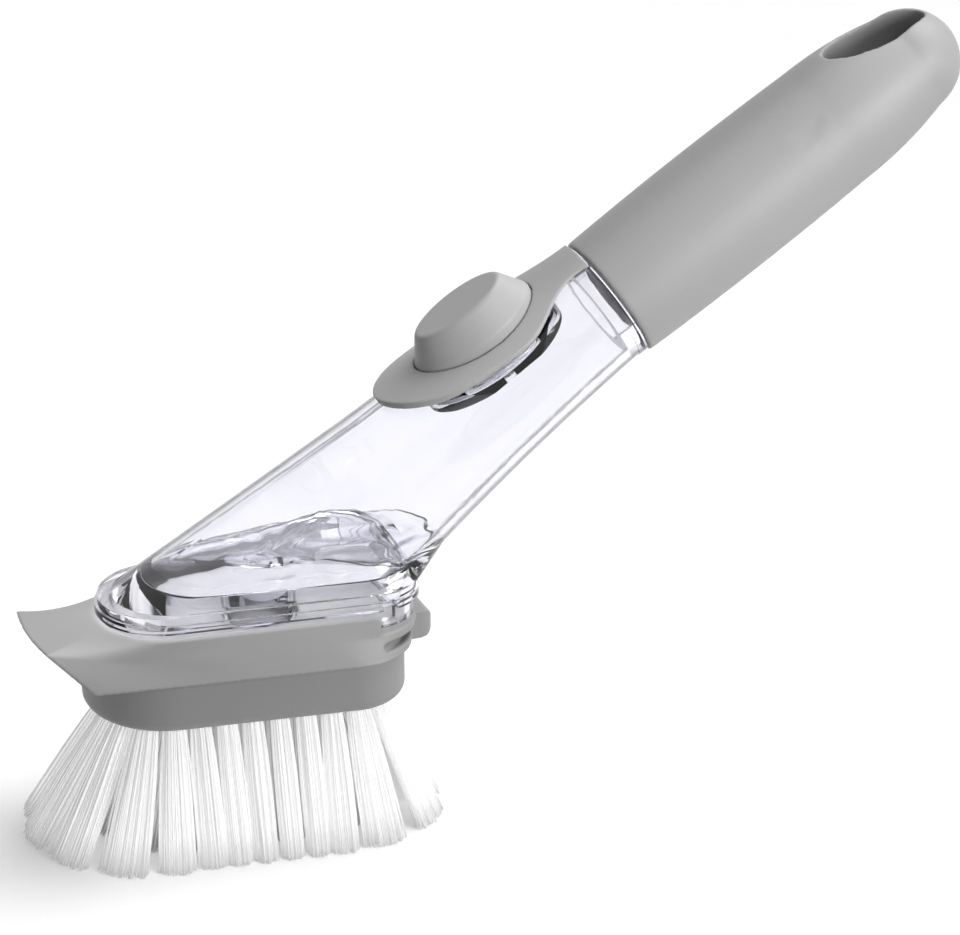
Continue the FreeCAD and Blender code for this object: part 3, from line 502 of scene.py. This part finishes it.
def grow_tuft(points, faces, top, foot, fan, dice):
    """Add one tuft's filaments to the points and faces; fan is its half width at the floor."""
    outward = Vector((foot.x - top.x, foot.y - top.y, 0)).normalized()
    along_ring = Vector((-outward.y, outward.x, 0))
    axis = (foot - top).normalized()
    side = axis.cross(along_ring).normalized()
    across = axis.cross(side)
    golden = math.pi * (3 - math.sqrt(5))
    for number in range(FILAMENTS):
        share = math.sqrt((number + 0.5) / FILAMENTS)
        turn = number * golden + dice.uniform(-0.25, 0.25)
        spoke = side * math.cos(turn) + across * math.sin(turn)
        flare = side * math.cos(turn) * TIP_REACH + across * math.sin(turn) * fan
        begin = top + spoke * share * ROOT_RADIUS
        end = foot + flare * share * dice.uniform(0.85, 1.0)
        end.z = dice.uniform(0.0, RAGGED_MM) * MM
        bow = spoke * share * dice.uniform(BOW_LEAST_MM, BOW_MOST_MM) * MM
        base = len(points)
        for step in range(STEPS + 1):
            along = step / STEPS
            middle = begin.lerp(end, along) + bow * math.sin(math.pi * along)
            for corner in range(SIDES):
                angle = 2 * math.pi * corner / SIDES + turn
                ring = side * math.cos(angle) + across * math.sin(angle)
                point = middle + ring * FILAMENT_RADIUS
                point.z = max(point.z, 0.0)
                points.append(point)
        for step in range(STEPS):
            for corner in range(SIDES):
                here = base + step * SIDES
                after = (corner + 1) % SIDES
                there = here + SIDES
                faces.append((here + corner, here + after, there + after, there + corner))
        last = base + STEPS * SIDES
        faces.append(tuple(last + corner for corner in range(SIDES)))
        faces.append(tuple(base + corner for corner in reversed(range(SIDES))))


for ring, axes in tuft_axes.items():
    dice = random.Random(len(axes))
    points, faces = [], []
    for top, foot in axes:
        gaps = sorted((foot - other).length for _, other in axes)
        grow_tuft(points, faces, top, foot, TIP_FAN * (gaps[1] + gaps[2]) / 2, dice)
    mesh = bpy.data.meshes.new(ring.replace("tufts", "bristles"))
    mesh.from_pydata(points, [], faces)
    mesh.materials.append(nodes[ring].data.materials[0])
    mesh.shade_smooth()
    bristles = bpy.data.objects.new(mesh.name, mesh)
    bpy.context.scene.collection.objects.link(bristles)
    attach(bristles, "head")
    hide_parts(ring)
    print(bristles.name, len(mesh.polygons))

# %% [markdown]
# ## Soap
# A little clear soap is left on the chamber's floor, and its surface is thrown into slow ripples.
# The chamber leans, so its wall is found by looking out from the middle at many heights, and the
# liquid's skin is laid against it, a hair inside the plastic so that no air shows between them.

# %% Pour the soap
wall_tree = BVHTree.FromObject(nodes["reservoir_body"], bpy.context.evaluated_depsgraph_get())
SOAP_FLOOR = 63.6 * MM
SOAP_LEVEL = 65.8 * MM
SOAP_SPOKES, SOAP_RINGS, SOAP_STEPS = 120, 34, 8
WET = 0.12 * MM
INSIDE_X = 6 * MM
SLOW_LENGTH, SLOW_WIDTH, SLOW_HEIGHT = 17 * MM, 11 * MM, 1.5 * MM
SWIRL_SIZE, SWIRL_HEIGHT = 8 * MM, 0.7 * MM


def chamber_middle(level):
    """The middle of the chamber at one height."""
    start = Vector((INSIDE_X, 0, level))
    ends = []
    for way in (-1, 1):
        hit = wall_tree.ray_cast(start, Vector((way, 0, 0)))[0]
        ends.append(hit.x)
    return Vector((sum(ends) / 2, 0, level))


def chamber_wall(level, turn):
    """The point of the chamber's wall seen from its middle in one direction."""
    middle = chamber_middle(level)
    spoke = Vector((math.cos(turn), math.sin(turn), 0))
    hit = wall_tree.ray_cast(middle, spoke)[0]
    return middle, hit + spoke * WET


def ripple(point):
    """The height of the soap's surface at a place."""
    slow = noise.noise(Vector((point.x / SLOW_LENGTH, point.y / SLOW_WIDTH, 1.7)))
    swirl = noise.noise(Vector((point.x / SWIRL_SIZE + 2 * slow, point.y / SWIRL_SIZE, 4.2)))
    return SOAP_LEVEL + SLOW_HEIGHT * slow + SWIRL_HEIGHT * swirl


points, faces = [], []
for spoke_number in range(SOAP_SPOKES):
    turn = 2 * math.pi * spoke_number / SOAP_SPOKES
    brim = ripple(chamber_wall(SOAP_LEVEL, turn)[1])
    for step in range(SOAP_STEPS):
        level = SOAP_FLOOR + (brim - SOAP_FLOOR) * step / SOAP_STEPS
        points.append(chamber_wall(level, turn)[1])
    for ring in range(SOAP_RINGS, 0, -1):
        middle, edge = chamber_wall(brim, turn)
        place = middle.lerp(edge, ring / SOAP_RINGS)
        place.z = ripple(place) if ring < SOAP_RINGS else brim
        points.append(place)
column = SOAP_STEPS + SOAP_RINGS
top_index = len(points)
top = chamber_middle(SOAP_LEVEL)
top.z = ripple(top)
points.append(top)
points.append(chamber_middle(SOAP_FLOOR))
for spoke_number in range(SOAP_SPOKES):
    here = spoke_number * column
    after = (spoke_number + 1) % SOAP_SPOKES * column
    for step in range(column - 1):
        faces.append((here + step, after + step, after + step + 1, here + step + 1))
    faces.append((here + column - 1, after + column - 1, top_index))
    faces.append((after, here, top_index + 1))
soap_mesh = bpy.data.meshes.new("dish_soap")
soap_mesh.from_pydata(points, [], faces)
soap_mesh.materials.append(soap_clear)
soap_mesh.shade_smooth()
soap = bpy.data.objects.new("dish_soap", soap_mesh)
bpy.context.scene.collection.objects.link(soap)
soap.visible_shadow = False
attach(soap, "reservoir")
print("soap:", len(soap_mesh.polygons))
